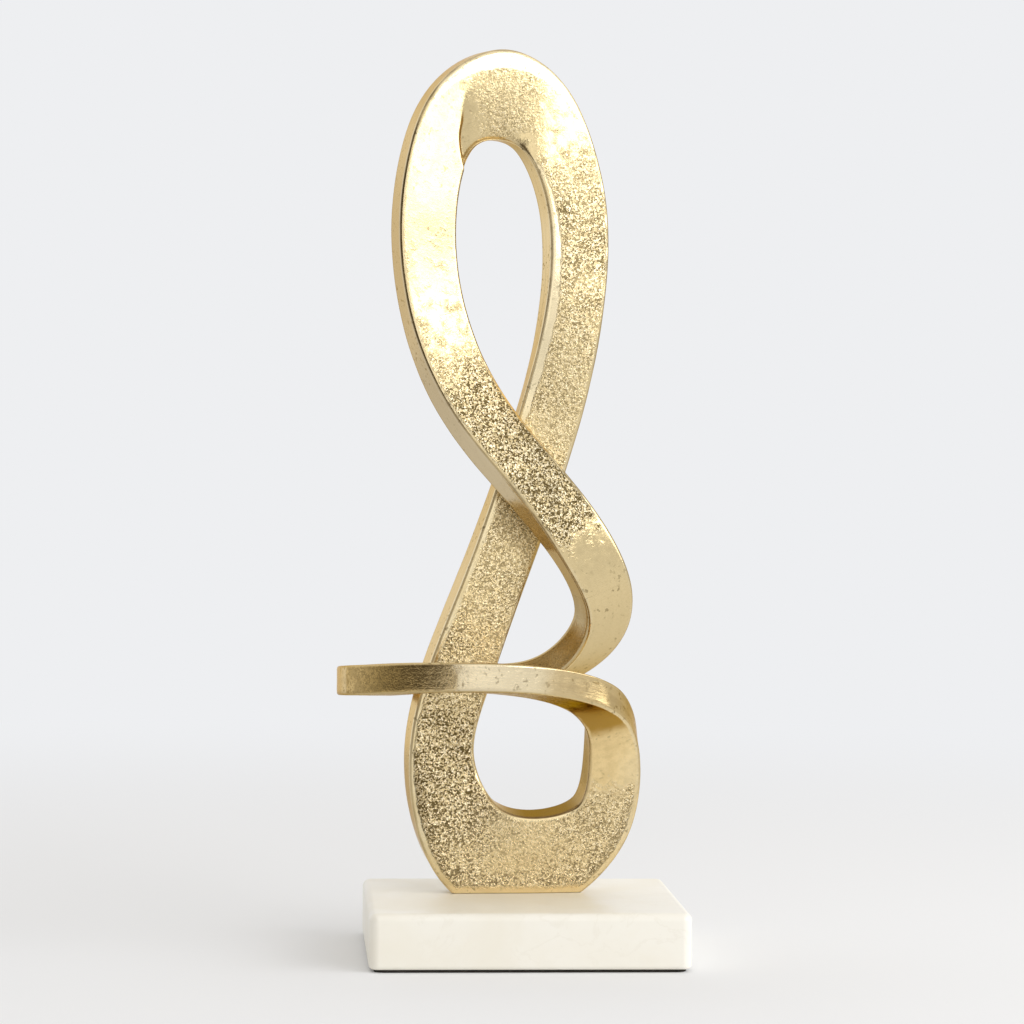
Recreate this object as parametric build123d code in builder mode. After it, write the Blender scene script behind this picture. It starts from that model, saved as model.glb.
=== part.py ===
import math
import os

from build123d import *

os.makedirs("parts", exist_ok=True)

# Block and felt sizes
base_length = 127.0
base_depth = 102.0
base_height = 22.0
base_corner = 4.0
base_top_edge = 3.0
base_bottom_edge = 1.5
felt_thickness = 1.2
felt_inset = 2.0
felt_corner = 4.0

# Cast band sizes
band_thickness = 12.0
band_width = 22.0
band_edge = 1.2
crown_swell = 14.3
foot_swell = 20.0
foot_rim = 1.2
strand_gap = 1.0

# Knot sizes, measured above the block and from its centre
foot_back = 7.7
foot_level = 20.8
leg_back = 12.5
loop_top = 316.7
loop_left = 42.3
loop_right = 18.7
crossing_height = 168.5
ring_level = 87.8
ring_left = 65.0
ring_reach = 35.0
turn_right = 32.0
drop_right = 36.0
loop_turn = 0.26

# Where the band passes between those sizes: out from the centre, in from a side, up or down from a level
foot_out = 1.6
ring_middle = 1.0
low_left_out = 22.8
low_left_back = 1.6
low_left_rise = 9.7
low_left_rim = 2.0
left_out = 33.0
left_back = 1.8
low_leg_out = 26.8
low_leg_step = 2.5
leg_out = 13.5
leg_step = 1.5
under_out = 0.7
under_drop = 8.5
low_right_out = 11.1
low_right_step = 1.0
top_right_in = 11.4
top_right_drop = 8.9
crown_out = 12.5
top_left_in = 9.1
top_left_drop = 8.4
mid_left_in = 4.1
low_strand_out = 22.5
low_strand_step = 1.5
over_out = 2.3
shoulder_in = 7.5
turn_back = 9.0
entry_in = 22.0
entry_step = 8.4
entry_rise = 0.9
ring_back_out = 22.0
ring_back_drop = 2.2
back_left_in = 11.0
back_left_step = 10.0
back_left_drop = 1.8
ring_left_drop = 0.8
front_left_in = 13.0
front_left_step = 10.0
front_left_rise = 1.8
ring_front_out = 17.0
ring_front_rise = 3.2
ring_end_in = 12.1
ring_end_step = 10.0
ring_end_drop = 4.2
drop_front = 2.2
low_drop_in = 5.1
low_drop_back = 0.6
low_drop_rise = 9.5
left_swell = 3.5
leg_swell = 3.5
strand_swell = 1.8
drop_swell = 3.4

# Fastener sizes
screw_diameter = 6.0
screw_bite = 13.8
head_across_flats = 10.0
head_height = 4.0
screw_spacing = 28.0
washer_diameter = 12.0
washer_thickness = 1.6
spring_diameter = 11.8
spring_thickness = 1.6
spring_slot = 1.5
counterbore_diameter = 18.0
counterbore_depth = 9.0
dowel_diameter = 5.0
dowel_length = 16.0

# Clearances
screw_clearance = 0.6
washer_clearance = 0.4
dowel_end_gap = 0.5
hole_end_gap = 1.2

# Heights and places that follow
base_top = felt_thickness + base_height
seat_height = felt_thickness + counterbore_depth
screw_end = base_top + screw_bite
screw_length = screw_end - seat_height + washer_thickness + spring_thickness
strand_step = band_thickness + 0.30 * band_width + strand_gap
front_back = leg_back - strand_step
low_span = crossing_height - ring_level
loop_span = loop_top - crossing_height
left_level = 0.65 * ring_level
drop_level = 0.68 * ring_level
leg_level = ring_level + 0.44 * low_span
turn_level = ring_level + 0.29 * low_span
shoulder_level = ring_level + 0.65 * low_span
low_level = crossing_height + 0.21 * loop_span
mid_level = crossing_height + 0.46 * loop_span
high_level = crossing_height + 0.73 * loop_span
ring_front = ring_middle - ring_reach
foot_turn = 0.07
foot_lean = 0.18


def loop_back(out):
    return loop_turn * (out + crown_out)


# Path of the band round the knot: place over the block, way it faces, swell past half its width each side
stations = [
    ("foot", (foot_out, foot_back, foot_level), (foot_turn, -1.0, -foot_lean), (foot_rim, foot_swell)),
    (
        "low left",
        (-low_left_out, foot_back + low_left_back, foot_level + low_left_rise),
        (0.12, -1.0, -0.05),
        (low_left_rim, 0.575 * foot_swell),
    ),
    ("left", (-left_out, foot_back + left_back, left_level), (0.17, -1.0, 0.0), (0.44 * left_swell, left_swell)),
    ("low leg", (-low_leg_out, leg_back - low_leg_step, ring_level), (0.24, -1.0, 0.0), (0.55 * leg_swell, leg_swell)),
    ("leg", (-leg_out, leg_back - leg_step, leg_level), (0.26, -1.0, 0.0), (0.19 * leg_swell, 0.95 * leg_swell)),
    (
        "under crossing",
        (-under_out, leg_back, crossing_height - under_drop),
        (0.18, -1.0, 0.0),
        (0.58 * strand_swell, 1.45 * strand_swell),
    ),
    (
        "low right",
        (low_right_out, leg_back - low_right_step, low_level),
        (0.08, -1.0, 0.0),
        (0.78 * strand_swell, 1.1 * strand_swell),
    ),
    (
        "mid right",
        (loop_right, loop_back(loop_right), mid_level),
        (0.20, -1.0, 0.0),
        (0.26 * strand_swell, 1.2 * strand_swell),
    ),
    ("high right", (loop_right, loop_back(loop_right), high_level), (0.28, -1.0, 0.0), (strand_swell,) * 2),
    (
        "top right",
        (loop_right - top_right_in, loop_back(loop_right - top_right_in), loop_top - top_right_drop),
        (0.26, -1.0, 0.05),
        (0.38 * crown_swell, 1.05 * strand_swell),
    ),
    ("crown", (-crown_out, 0.0, loop_top), (0.25, -1.0, -0.10), (crown_swell, 0.0)),
    (
        "top left",
        (top_left_in - loop_left, loop_back(top_left_in - loop_left), loop_top - top_left_drop),
        (0.30, -1.0, -0.02),
        (0.335 * crown_swell, 0.24 * strand_swell),
    ),
    (
        "high left",
        (-loop_left, loop_back(-loop_left), high_level),
        (0.30, -1.0, 0.0),
        (0.88 * strand_swell, 0.29 * strand_swell),
    ),
    (
        "mid left",
        (mid_left_in - loop_left, loop_back(mid_left_in - loop_left), mid_level),
        (0.33, -1.0, 0.05),
        (1.05 * strand_swell, 0.12 * strand_swell),
    ),
    (
        "low strand",
        (-low_strand_out, front_back - low_strand_step, low_level),
        (0.50, -1.0, 0.15),
        (1.4 * strand_swell, 0.17 * strand_swell),
    ),
    ("over crossing", (over_out, front_back, crossing_height), (0.47, -1.0, 0.22), (strand_swell, 0.0)),
    ("shoulder", (turn_right - shoulder_in, 0.0, shoulder_level), (0.25, -1.0, 0.05), (0.74 * strand_swell, 0.0)),
    (
        "right turn",
        (turn_right, turn_back, turn_level),
        (0.60, -1.0, -0.20),
        (-0.2 * strand_swell, -0.5 * strand_swell),
    ),
    (
        "into ring",
        (turn_right - entry_in, ring_reach - entry_step, ring_level + entry_rise),
        (0.67, -0.48, -1.0),
        (-1.2 * strand_swell, -0.95 * strand_swell),
    ),
    ("ring back", (-ring_back_out, ring_reach, ring_level - ring_back_drop), (0.0, -0.08, -1.0), (0.0, 0.0)),
    (
        "back left",
        (back_left_in - ring_left, ring_reach - back_left_step, ring_level - back_left_drop),
        (0.0, -0.08, -1.0),
        (0.0, 0.0),
    ),
    ("ring left", (-ring_left, ring_middle, ring_level - ring_left_drop), (0.0, -0.08, -1.0), (0.0, 0.0)),
    (
        "front left",
        (front_left_in - ring_left, ring_front + front_left_step, ring_level + front_left_rise),
        (0.0, -0.08, -1.0),
        (0.0, 0.0),
    ),
    ("ring front", (-ring_front_out, ring_front, ring_level + ring_front_rise), (0.0, -0.10, -1.0), (0.0, 0.0)),
    (
        "ring end",
        (drop_right - ring_end_in, ring_front + ring_end_step, ring_level - ring_end_drop),
        (0.0, -0.46, -1.0),
        (-strand_swell, -1.4 * strand_swell),
    ),
    ("right drop", (drop_right, -drop_front, drop_level), (0.11, -1.0, -0.21), (0.0, 0.3 * strand_swell)),
    (
        "low drop",
        (drop_right - low_drop_in, foot_back + low_drop_back, foot_level + low_drop_rise),
        (0.20, -1.0, -0.15),
        (0.4 * drop_swell, drop_swell),
    ),
]
station_count = len(stations)

# Where the three castings meet along the path, and sections per station
joint_leg = 5.2
joint_turn = 16.5
joint_drop = 25.5
steps_per_station = 4


def smooth_controls(points):
    controls = list(points)
    for sweep_round in range(40):
        controls = [
            (points[i] * 6 - controls[i - 1] - controls[(i + 1) % station_count]) * 0.25
            for i in range(station_count)
        ]
    return controls


path_controls = smooth_controls([Vector(*place) for name, place, facing, swell in stations])
facing_controls = smooth_controls([Vector(*facing).normalized() for name, place, facing, swell in stations])
swell_controls = smooth_controls([Vector(*swell, 0) for name, place, facing, swell in stations])


def blend(controls, at, weights):
    first = math.floor(at) - 1
    total = Vector(0, 0, 0)
    for k in range(4):
        total = total + controls[(first + k) % station_count] * weights[k]
    return total


def place_weights(f):
    return ((1 - f) ** 3 / 6, (3 * f**3 - 6 * f**2 + 4) / 6, (3 * f + 3 * f**2 - 3 * f**3 + 1) / 6, f**3 / 6)


def slope_weights(f):
    return (-((1 - f) ** 2) / 2, (3 * f**2 - 4 * f) / 2, (1 + 2 * f - 3 * f**2) / 2, f**2 / 2)


def band_plane(at):
    part_way = at - math.floor(at)
    middle = blend(path_controls, at, place_weights(part_way)) + Vector(0, 0, base_top)
    along = blend(path_controls, at, slope_weights(part_way)).normalized()
    facing = blend(facing_controls, at, place_weights(part_way))
    facing = (facing - along * facing.dot(along)).normalized()
    across = along.cross(facing)
    swell = blend(swell_controls, at, place_weights(part_way))
    return Plane(origin=middle + across * ((swell.X - swell.Y) / 2), x_dir=across, z_dir=along)


def band_width_at(at):
    swell = blend(swell_controls, at, place_weights(at - math.floor(at)))
    return band_width + swell.X + swell.Y


def section_places(start, end):
    count = round((end - start) * steps_per_station)
    return [start + (end - start) * k / count for k in range(count + 1)]


# Screw places under the foot follow its turn and its lean
screw_places = []
for side in (-1, 1):
    screw_x = foot_out + side * screw_spacing / 2
    screw_y = foot_back + foot_lean * (foot_level - (screw_end - base_top) / 2) + foot_turn * (screw_x - foot_out)
    screw_places.append((screw_x, screw_y))

# Foot casting: lower right, foot and leg
with BuildPart() as foot_casting:
    for at in section_places(joint_drop, joint_leg + station_count):
        with BuildSketch(band_plane(at)):
            RectangleRounded(band_width_at(at), band_thickness, band_edge)
    loft()
    with Locations((0, 0, base_top)):
        Box(
            2 * base_length,
            2 * base_depth,
            2 * band_width,
            align=(Align.CENTER, Align.CENTER, Align.MAX),
            mode=Mode.SUBTRACT,
        )
    with BuildSketch(Plane.XY.offset(base_top)):
        with Locations(*screw_places):
            Circle(screw_diameter / 2)
    extrude(amount=screw_end - base_top + hole_end_gap, mode=Mode.SUBTRACT)
    with BuildSketch(band_plane(joint_drop)):
        Circle(dowel_diameter / 2)
    extrude(amount=dowel_length / 2 + dowel_end_gap, mode=Mode.SUBTRACT)
    with BuildSketch(band_plane(joint_leg)):
        Circle(dowel_diameter / 2)
    extrude(amount=-dowel_length / 2 - dowel_end_gap, mode=Mode.SUBTRACT)
foot_casting.part.label = "foot_casting"

# Loop casting: right strand, top, left strand and shoulder
with BuildPart() as loop_casting:
    for at in section_places(joint_leg, joint_turn):
        with BuildSketch(band_plane(at)):
            RectangleRounded(band_width_at(at), band_thickness, band_edge)
    loft()
    with BuildSketch(band_plane(joint_leg)):
        Circle(dowel_diameter / 2)
    extrude(amount=dowel_length / 2 + dowel_end_gap, mode=Mode.SUBTRACT)
    with BuildSketch(band_plane(joint_turn)):
        Circle(dowel_diameter / 2)
    extrude(amount=-dowel_length / 2 - dowel_end_gap, mode=Mode.SUBTRACT)
loop_casting.part.label = "loop_casting"

# Ring casting: right turn, ring round the leg and right drop
with BuildPart() as ring_casting:
    for at in section_places(joint_turn, joint_drop):
        with BuildSketch(band_plane(at)):
            RectangleRounded(band_width_at(at), band_thickness, band_edge)
    loft()
    with BuildSketch(band_plane(joint_turn)):
        Circle(dowel_diameter / 2)
    extrude(amount=dowel_length / 2 + dowel_end_gap, mode=Mode.SUBTRACT)
    with BuildSketch(band_plane(joint_drop)):
        Circle(dowel_diameter / 2)
    extrude(amount=-dowel_length / 2 - dowel_end_gap, mode=Mode.SUBTRACT)
ring_casting.part.label = "ring_casting"

# Dowels across the three joints
with BuildPart() as joint_dowels:
    for at in (joint_leg, joint_turn, joint_drop):
        with BuildSketch(band_plane(at)):
            Circle(dowel_diameter / 2)
        extrude(amount=dowel_length / 2, both=True)
joint_dowels.part.label = "joint_dowels"

# Marble block
with BuildPart() as marble_base:
    with BuildSketch(Plane.XY.offset(felt_thickness)):
        RectangleRounded(base_length, base_depth, base_corner)
    extrude(amount=base_height)
    fillet(marble_base.faces().sort_by(Axis.Z)[-1].edges(), base_top_edge)
    fillet(marble_base.faces().sort_by(Axis.Z)[0].edges(), base_bottom_edge)
    with BuildSketch(Plane.XY.offset(felt_thickness)):
        with Locations(*screw_places):
            Circle(counterbore_diameter / 2)
    extrude(amount=counterbore_depth, mode=Mode.SUBTRACT)
    with BuildSketch(Plane.XY.offset(felt_thickness)):
        with Locations(*screw_places):
            Circle((screw_diameter + screw_clearance) / 2)
    extrude(amount=base_height, mode=Mode.SUBTRACT)
marble_base.part.label = "marble_base"

# Screws from below into the foot
with BuildPart() as base_screws:
    with BuildSketch(Plane.XY.offset(screw_end - screw_length - head_height)):
        with Locations(*screw_places):
            RegularPolygon(head_across_flats / 2, 6, major_radius=False)
    extrude(amount=head_height)
    with BuildSketch(Plane.XY.offset(screw_end - screw_length)):
        with Locations(*screw_places):
            Circle(screw_diameter / 2)
    extrude(amount=screw_length)
base_screws.part.label = "base_screws"

# Flat washers against the counterbore roofs
with BuildPart() as flat_washers:
    with BuildSketch(Plane.XY.offset(seat_height - washer_thickness)):
        with Locations(*screw_places):
            Circle(washer_diameter / 2)
            Circle((screw_diameter + washer_clearance) / 2, mode=Mode.SUBTRACT)
    extrude(amount=washer_thickness)
flat_washers.part.label = "flat_washers"

# Split spring washers under the screw heads
with BuildPart() as spring_washers:
    with BuildSketch(Plane.XY.offset(screw_end - screw_length)):
        with Locations(*screw_places):
            Circle(spring_diameter / 2)
            Circle((screw_diameter + washer_clearance) / 2, mode=Mode.SUBTRACT)
            Rectangle(spring_diameter, spring_slot, align=(Align.MIN, Align.CENTER), mode=Mode.SUBTRACT)
    extrude(amount=spring_thickness)
spring_washers.part.label = "spring_washers"

# Felt sheet under the block, open at the counterbores
with BuildPart() as felt_pad:
    with BuildSketch(Plane.XY):
        RectangleRounded(base_length - 2 * felt_inset, base_depth - 2 * felt_inset, felt_corner)
        with Locations(*screw_places):
            Circle(counterbore_diameter / 2, mode=Mode.SUBTRACT)
    extrude(amount=felt_thickness)
felt_pad.part.label = "felt_pad"

export_step(foot_casting.part, "parts/foot_casting.step")
export_step(loop_casting.part, "parts/loop_casting.step")
export_step(ring_casting.part, "parts/ring_casting.step")
export_step(joint_dowels.part, "parts/joint_dowels.step")
export_step(marble_base.part, "parts/marble_base.step")
export_step(base_screws.part, "parts/base_screws.step")
export_step(flat_washers.part, "parts/flat_washers.step")
export_step(spring_washers.part, "parts/spring_washers.step")
export_step(felt_pad.part, "parts/felt_pad.step")
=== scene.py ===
import math
from types import SimpleNamespace

import bmesh
import bpy
from mathutils import Matrix, Vector


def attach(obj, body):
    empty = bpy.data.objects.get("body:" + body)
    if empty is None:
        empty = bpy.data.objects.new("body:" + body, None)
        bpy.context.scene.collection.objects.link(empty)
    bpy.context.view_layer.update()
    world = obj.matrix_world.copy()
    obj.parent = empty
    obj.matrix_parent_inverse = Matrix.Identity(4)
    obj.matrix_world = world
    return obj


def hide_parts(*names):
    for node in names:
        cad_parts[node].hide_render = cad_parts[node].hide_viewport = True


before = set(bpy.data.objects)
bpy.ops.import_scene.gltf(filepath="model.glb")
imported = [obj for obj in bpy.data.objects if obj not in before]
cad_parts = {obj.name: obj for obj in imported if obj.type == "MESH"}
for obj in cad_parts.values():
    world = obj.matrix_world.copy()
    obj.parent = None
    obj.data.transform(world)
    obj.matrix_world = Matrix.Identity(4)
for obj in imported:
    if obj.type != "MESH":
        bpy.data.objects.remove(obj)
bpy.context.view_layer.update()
mm = 0.001
scene = bpy.context.scene
scene.view_settings.view_transform = "Standard"
print("frame loaded:", ", ".join(sorted(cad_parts)))


def addNode(tree, kind, inputs=None, **settings):
    node = tree.nodes.new(kind)
    for name, value in settings.items():
        setattr(node, name, value)
    for name, value in (inputs or {}).items():
        plug(tree, node.inputs[name], value)
    return node


def plug(tree, socket, value):
    if isinstance(value, bpy.types.NodeSocket):
        tree.links.new(value, socket)
    else:
        socket.default_value = value


def calc(tree, operation, *values):
    node = addNode(tree, "ShaderNodeMath", operation=operation)
    for place, value in enumerate(values):
        plug(tree, node.inputs[place], value)
    return node.outputs[0]


def product(tree, first, *others):
    for value in others:
        first = calc(tree, "MULTIPLY", first, value)
    return first


def addShare(tree, value, mark, share):
    return calc(tree, "ADD", value, calc(tree, "MULTIPLY", mark, share))


def rest(tree, value):
    return calc(tree, "SUBTRACT", 1.0, value)


def vectorCalc(tree, operation, *values):
    node = addNode(tree, "ShaderNodeVectorMath", operation=operation)
    for place, value in enumerate(values):
        plug(tree, node.inputs["Scale"] if operation == "SCALE" and place else node.inputs[place], value)
    return node.outputs["Value"] if operation == "LENGTH" else node.outputs["Vector"]


def ramp(tree, value, fromLow, fromHigh, toLow=0.0, toHigh=1.0, smooth=True):
    node = addNode(tree, "ShaderNodeMapRange", interpolation_type="SMOOTHSTEP" if smooth else "LINEAR")
    for name, number in (("Value", value), ("From Min", fromLow), ("From Max", fromHigh),
                         ("To Min", toLow), ("To Max", toHigh)):
        plug(tree, node.inputs[name], number)
    return node.outputs[0]


def noise(tree, place, scale, detail=2.0, roughness=0.5, distortion=0.0):
    return addNode(tree, "ShaderNodeTexNoise", {"Vector": place, "Scale": scale, "Detail": detail,
                                                "Roughness": roughness, "Distortion": distortion}).outputs[0]


def centredNoise(tree, place, scale, detail, roughness=0.5):
    return calc(tree, "SUBTRACT", noise(tree, place, scale, detail, roughness), 0.5)


def mixColour(tree, share, first, second):
    node = addNode(tree, "ShaderNodeMix", data_type="RGBA")
    plug(tree, node.inputs[0], share)
    plug(tree, node.inputs[6], first)
    plug(tree, node.inputs[7], second)
    return node.outputs[2]


def mixNumber(tree, share, first, second):
    node = addNode(tree, "ShaderNodeMix", data_type="FLOAT")
    plug(tree, node.inputs[0], share)
    plug(tree, node.inputs[2], first)
    plug(tree, node.inputs[3], second)
    return node.outputs[0]


# Camera at the height of the knot's middle, a little to the left of the front.
cameraSetup = {
    "lens": 112.5,
    "sensor": 36.0,
    "clipEnd": 50.0,
    "target": (-5.78, 0.0, 178.97),
    "distance": 1296.2,
    "yaw": 4.166,
    "pitch": 1.457,
    "roll": 0.601,
}


def makeCamera(setup):
    yaw, pitch, roll = (math.radians(setup[name]) for name in ("yaw", "pitch", "roll"))
    forward = Vector((math.sin(yaw) * math.cos(pitch), math.cos(yaw) * math.cos(pitch), -math.sin(pitch)))
    right = Vector((math.cos(yaw), -math.sin(yaw), 0.0))
    up = right.cross(forward)
    turnedRight = right * math.cos(roll) + up * math.sin(roll)
    turnedUp = up * math.cos(roll) - right * math.sin(roll)
    data = bpy.data.cameras.new("camera")
    data.lens = setup["lens"]
    data.sensor_width = setup["sensor"]
    data.clip_end = setup["clipEnd"]
    camera = bpy.data.objects.new("camera", data)
    scene.collection.objects.link(camera)
    eye = Vector(setup["target"]) * mm - forward * setup["distance"] * mm
    facing = Matrix((turnedRight, turnedUp, -forward)).transposed()
    camera.matrix_world = Matrix.Translation(eye) @ facing.to_4x4()
    scene.camera = camera


makeCamera(cameraSetup)
print("camera placed")

# Studio, in metres: a pale floor, one soft box on the right and a room that is dim on the front left.
studio = {
    "paper": (0.855, 0.863, 0.880, 1.0),
    "floorRadius": 1.1,
    "floorSides": 96,
    "floorFade": (0.25, 1.05),
    # degrees round from the front, brightness
    "roomTones": ((-180, 1.05), (-140, 1.05), (-115, 1.00), (-88, 0.62), (-60, 0.16), (-15, 0.12), (-9, 1.25),
                  (4, 1.30), (20, 1.00), (36, 0.80), (88, 0.82), (116, 0.82), (150, 0.85), (172, 1.00)),
    "dimTint": (1.0, 0.78, 0.46, 1.0),
    "dimTone": 0.5,
    "ceiling": (0.89, 0.865, 0.825, 1.0),
    "ceilingRise": (0.42, 0.9),
    "boxAzimuth": 56.0,
    "boxElevation": 18.5,
    "boxDistance": 1.8,
    "boxWidth": 2.1,
    "boxHeight": 0.97,
    "boxGlow": 2.75,
    "boxTarget": (0.0, 0.0, 0.18),
}


def makeFloor(setup):
    mesh = bpy.data.meshes.new("floor")
    made = bmesh.new()
    bmesh.ops.create_circle(made, cap_ends=True, segments=setup["floorSides"], radius=setup["floorRadius"])
    made.to_mesh(mesh)
    made.free()
    floor = bpy.data.objects.new("floor", mesh)
    scene.collection.objects.link(floor)
    paper = bpy.data.materials.new("paleFloor")
    paper.use_nodes = True
    tree = paper.node_tree
    tree.nodes.clear()
    away = vectorCalc(tree, "LENGTH", addNode(tree, "ShaderNodeTexCoord").outputs["Object"])
    rays = addNode(tree, "ShaderNodeLightPath")
    seen = calc(tree, "MAXIMUM", rays.outputs["Is Camera Ray"], rays.outputs["Is Glossy Ray"])
    seen = calc(tree, "MAXIMUM", seen, rays.outputs["Is Transmission Ray"])
    near = addNode(tree, "ShaderNodeBsdfDiffuse", {"Color": setup["paper"]}).outputs[0]
    far = addNode(tree, "ShaderNodeEmission", {"Color": setup["paper"], "Strength": 1.0}).outputs[0]
    both = tree.nodes.new("ShaderNodeMixShader")
    tree.links.new(product(tree, ramp(tree, away, *setup["floorFade"]), seen), both.inputs[0])
    tree.links.new(near, both.inputs[1])
    tree.links.new(far, both.inputs[2])
    addNode(tree, "ShaderNodeOutputMaterial", {"Surface": both.outputs[0]})
    mesh.materials.append(paper)


def makeRoom(setup):
    world = bpy.data.worlds.new("studioRoom")
    scene.world = world
    world.use_nodes = True
    tree = world.node_tree
    tree.nodes.clear()
    way = addNode(tree, "ShaderNodeSeparateXYZ", {"Vector": addNode(tree, "ShaderNodeTexCoord").outputs["Generated"]})
    front = calc(tree, "MULTIPLY", way.outputs["Y"], -1.0)
    azimuth = calc(tree, "ARCTAN2", way.outputs["X"], front)
    turn = ramp(tree, azimuth, -math.pi, math.pi, smooth=False)
    tones = addNode(tree, "ShaderNodeValToRGB", {"Fac": turn})
    stops = tones.color_ramp.elements
    while len(stops) < len(setup["roomTones"]):
        stops.new(0.5)
    for stop, (degrees, tone) in zip(stops, setup["roomTones"]):
        stop.position = (degrees + 180.0) / 360.0
        dimness = max(0.0, 1.0 - tone / setup["dimTone"])
        stop.color = (*(tone * (1.0 - (1.0 - channel) * dimness) for channel in setup["dimTint"][:3]), 1.0)
    overhead = ramp(tree, way.outputs["Z"], *setup["ceilingRise"])
    room = mixColour(tree, overhead, tones.outputs["Color"], setup["ceiling"])
    rays = addNode(tree, "ShaderNodeLightPath")
    shown = mixColour(tree, rays.outputs["Is Camera Ray"], room, setup["paper"])
    sky = addNode(tree, "ShaderNodeBackground", {"Color": shown, "Strength": 1.0})
    addNode(tree, "ShaderNodeOutputWorld", {"Surface": sky.outputs[0]})


def makeSoftBox(setup):
    azimuth, elevation = math.radians(setup["boxAzimuth"]), math.radians(setup["boxElevation"])
    toBox = Vector((math.sin(azimuth) * math.cos(elevation), -math.cos(azimuth) * math.cos(elevation),
                    math.sin(elevation)))
    data = bpy.data.lights.new("softBox", "AREA")
    data.shape = "RECTANGLE"
    data.size, data.size_y = setup["boxWidth"], setup["boxHeight"]
    data.energy = setup["boxGlow"] * math.pi * setup["boxWidth"] * setup["boxHeight"]
    box = bpy.data.objects.new("softBox", data)
    scene.collection.objects.link(box)
    turned = toBox.to_track_quat("Z", "Y").to_matrix().to_4x4()
    box.matrix_world = Matrix.Translation(Vector(setup["boxTarget"]) + toBox * setup["boxDistance"]) @ turned


makeFloor(studio)
makeRoom(studio)
makeSoftBox(studio)
print("studio lit")

# The band, in millimetres. Turns count the stations along its closed line.
knot = {
    "baseTop": 23.2,
    "bandThickness": 12.0,
    "bandWidth": 22.0,
    "bandEdge": 1.2,
    "edgeSteps": 5,
    "facet": 0.72,
    "ringsPerStation": 40,
    "patternStep": 37.0,
    "dentDepth": 0.10,
    "dentSize": 2.6,
    "dentStart": 2.6,
    "dentLeft": 0.9,
    "waveDepth": 0.22,
    "waveSize": 17.0,
    "waveTop": 0.62,
    "creaseTurn": 10.87,
    "creaseSlant": 0.6,
    "creaseWidth": 0.14,
    "hollowDepth": 5.0,
    "hollowTop": 18.0,
    "hollowReach": 30.0,
    "hollowCurve": 1.6,
    "hollowStart": 8.5,
    "hollowFull": 10.2,
    "castings": {"foot_casting": (25.5, 32.2), "loop_casting": (5.2, 16.5), "ring_casting": (16.5, 25.5)},
}
# Route of the band: sizes above the block and from its centre, the steps between them, and the swells
route = {
    "footBack": 7.7, "footLevel": 20.8, "legBack": 12.5, "loopTop": 316.7, "loopLeft": 42.3, "loopRight": 18.7,
    "crossingHeight": 168.5, "ringLevel": 87.8, "ringLeft": 65.0, "ringReach": 35.0, "ringMiddle": 1.0,
    "turnRight": 32.0, "dropRight": 36.0, "loopTurn": 0.26, "strandGap": 1.0,
    "footOut": 1.6, "lowLeftOut": 22.8, "lowLeftBack": 1.6, "lowLeftRise": 9.7, "leftOut": 33.0, "leftBack": 1.8,
    "lowLegOut": 26.8, "lowLegStep": 2.5, "legOut": 13.5, "legStep": 1.5, "underOut": 0.7, "underDrop": 8.5,
    "lowRightOut": 11.1, "lowRightStep": 1.0, "topRightIn": 11.4, "topRightDrop": 8.9, "crownOut": 12.5,
    "topLeftIn": 9.1, "topLeftDrop": 8.4, "midLeftIn": 4.1, "lowStrandOut": 22.5, "lowStrandStep": 1.5,
    "overOut": 2.3, "shoulderIn": 7.5, "turnBack": 9.0, "entryIn": 22.0, "entryStep": 8.4, "entryRise": 0.9,
    "ringBackOut": 22.0, "ringBackDrop": 2.2, "backLeftIn": 11.0, "backLeftStep": 10.0, "backLeftDrop": 1.8,
    "ringLeftDrop": 0.8, "frontLeftIn": 13.0, "frontLeftStep": 10.0, "frontLeftRise": 1.8, "ringFrontOut": 17.0,
    "ringFrontRise": 3.2, "ringEndIn": 12.1, "ringEndStep": 10.0, "ringEndDrop": 4.2, "dropFront": 2.2,
    "lowDropIn": 5.1, "lowDropBack": 0.6, "lowDropRise": 9.5,
    "footRim": 1.2, "footSwell": 20.0, "lowLeftRim": 2.0, "leftSwell": 3.5, "legSwell": 3.5, "strandSwell": 1.8,
    "crownSwell": 14.3, "dropSwell": 3.4,
}
# What a station says about its shape and finish, each with its unit: dome and tilt of the front, lean of the
# outer side, thinner back; cast grain, ground smooth, painted shade on the lip (+ near side, - far side) and its
# reach over the face, painted brown shade, painted sheen in patches, smooth band along the near (+) or far (-) side,
# narrow side painted paler as a painted reflection, patina on it that also paints a dark reflection,
# dark line along the edges
shapeScales = {"dome": mm, "tilt": math.radians(1.0), "lean": math.radians(1.0), "thin": mm}
markScales = {"grain": 1.0, "ground": 1.0, "lip": 1.0, "spread": mm, "brownShade": 1.0, "sheen": 1.0, "rim": mm,
              "pale": 1.0, "patinaAndShade": 1.0, "line": 1.0}
finishScales = {**shapeScales, **markScales}


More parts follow.
